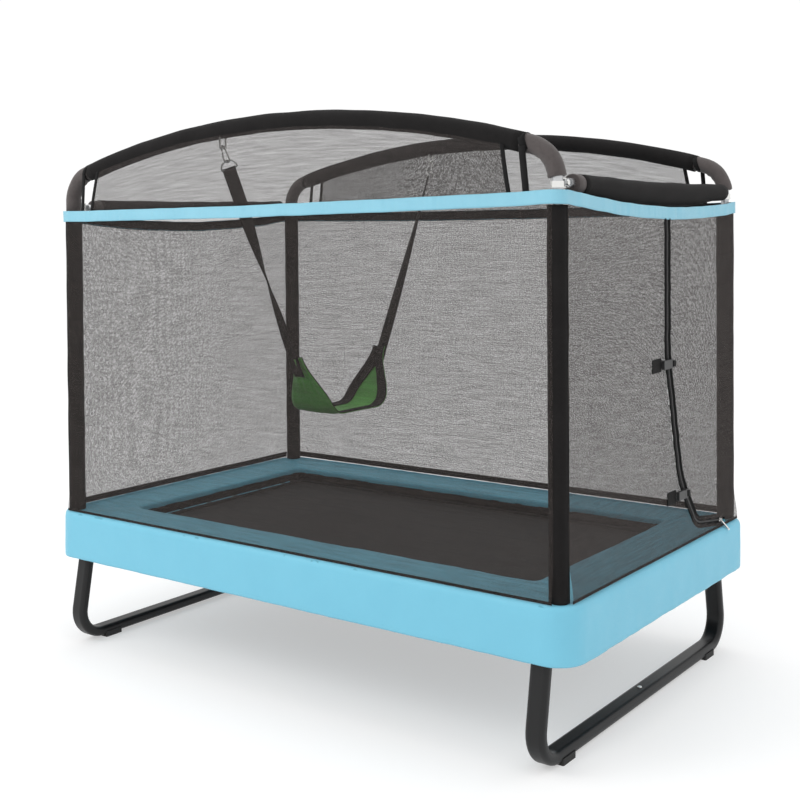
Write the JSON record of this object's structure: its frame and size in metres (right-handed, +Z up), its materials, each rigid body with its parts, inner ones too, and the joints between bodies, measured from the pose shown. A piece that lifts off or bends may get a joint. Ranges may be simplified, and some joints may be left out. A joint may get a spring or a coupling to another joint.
{
  "type": "trampoline",
  "caption": "Rectangular toddler trampoline with padded border, net enclosure under arched bars, zipped door and a hanging sling swing.",
  "frame": {"origin": "centre of the footprint on the floor", "axes": "+Z up, X along the long side, Y along the short side with the door in the +X end"},
  "size_m": [1.8355, 1.1104, 1.5932],
  "materials": {
    "black_powder_coat": "satin",
    "galvanised_steel": "satin",
    "bright_zinc": "polished",
    "black_rubber": "matte",
    "grey_foam": "matte",
    "black_sleeve": "matte",
    "mesh_net": "matte",
    "black_webbing": "matte",
    "jumping_fabric": "matte",
    "blue_cover": "satin",
    "blue_pad": "satin",
    "blue_band": "satin",
    "green_fabric": "satin",
    "black_plastic": "satin"
  },
  "bodies": {
    "frame": {"frame_end_left": "galvanised_steel", "frame_end_right": "galvanised_steel", "frame_side_front": "galvanised_steel", "frame_side_back": "galvanised_steel", "frame_bolts": "bright_zinc", "leg_left_front": "black_powder_coat", "leg_left_back": "black_powder_coat", "leg_right_front": "black_powder_coat", "leg_right_back": "black_powder_coat", "leg_joint_bolts": "bright_zinc", "leg_feet": "black_rubber", "pole_brackets": "galvanised_steel", "mat_hem": "black_webbing", "mat_rings": "bright_zinc", "mat_springs": "bright_zinc", "safety_pad": "blue_pad", "pad_inner_strip": "black_webbing", "pad_skirt": "blue_cover", "poles": "galvanised_steel", "pole_foams": "grey_foam", "pole_sleeves": "black_sleeve", "arch_tube_front": "galvanised_steel", "arch_tube_back": "galvanised_steel", "arch_foam_front": "grey_foam", "arch_foam_back": "grey_foam", "arch_sleeve_front": "black_sleeve", "arch_sleeve_back": "black_sleeve", "end_bar_left": "galvanised_steel", "end_bar_right": "galvanised_steel", "end_bar_foams": "grey_foam", "end_bar_sleeves": "black_sleeve", "end_bar_brackets": "bright_zinc", "end_bar_bolts": "bright_zinc", "net_front": "mesh_net", "net_back": "mesh_net", "net_left": "mesh_net", "net_right": "mesh_net", "gable_net_front": "mesh_net", "gable_net_back": "mesh_net", "gable_bindings": "black_webbing", "top_band": "blue_band", "net_hem": "black_webbing", "zip_tape": "black_webbing", "buckle_patches": "black_webbing", "buckle_sockets": "black_plastic", "swing_eyes": "galvanised_steel"},
    "mat": {"jumping_mat": "jumping_fabric"},
    "swing": {"carabiners": "bright_zinc", "d_rings": "bright_zinc", "swing_straps": "black_webbing", "seat_panel": "green_fabric", "seat_webbing": "black_webbing"},
    "gate_front": {"carabiner_gate_front": "bright_zinc"},
    "gate_back": {"carabiner_gate_back": "bright_zinc"},
    "zip": {"zip_slider": "bright_zinc"},
    "zip_tab": {"zip_pull": "bright_zinc"},
    "upper_plug": {"upper_buckle_plug": "black_plastic", "upper_buckle_tail": "black_webbing"},
    "lower_plug": {"lower_buckle_plug": "black_plastic", "lower_buckle_tail": "black_webbing"}
  },
  "joints": [
    {"name": "mat_bounce", "type": "slide", "parent": "frame", "child": "mat", "axis": [0, 0, 1], "range_m": [-0.12, 0], "stiffness_N_per_m": 4500},
    {"name": "swing_hinge", "type": "hinge", "parent": "frame", "child": "swing", "pos_m": [-0.21, 0, 1.506], "axis": [0, 1, 0], "range_deg": [-40, 40]},
    {"name": "gate_front_hinge", "type": "hinge", "parent": "swing", "child": "gate_front", "pos_m": [-0.221, -0.49651, 1.48037], "axis": [0, 0.9058, 0.4237], "range_deg": [0, 22], "stiffness_Nm_per_rad": 0.02},
    {"name": "gate_back_hinge", "type": "hinge", "parent": "swing", "child": "gate_back", "pos_m": [-0.221, 0.49651, 1.48037], "axis": [0, 0.9058, -0.4237], "range_deg": [0, 22], "stiffness_Nm_per_rad": 0.02},
    {"name": "zip_slide", "type": "slide", "parent": "frame", "child": "zip", "axis": [0, -0.9893, 0.146], "range_m": [0, 0.09]},
    {"name": "zip_pull_hinge", "type": "hinge", "parent": "zip", "child": "zip_tab", "pos_m": [0.89255, 0.39115, 0.42504], "axis": [0, -0.9893, 0.146], "range_deg": [0, 100]},
    {"name": "upper_plug_slide", "type": "slide", "parent": "frame", "child": "upper_plug", "axis": [0, 1, 0], "range_m": [0, 0.03]},
    {"name": "lower_plug_slide", "type": "slide", "parent": "frame", "child": "lower_plug", "axis": [0, 1, 0], "range_m": [0, 0.03]}
  ]
}
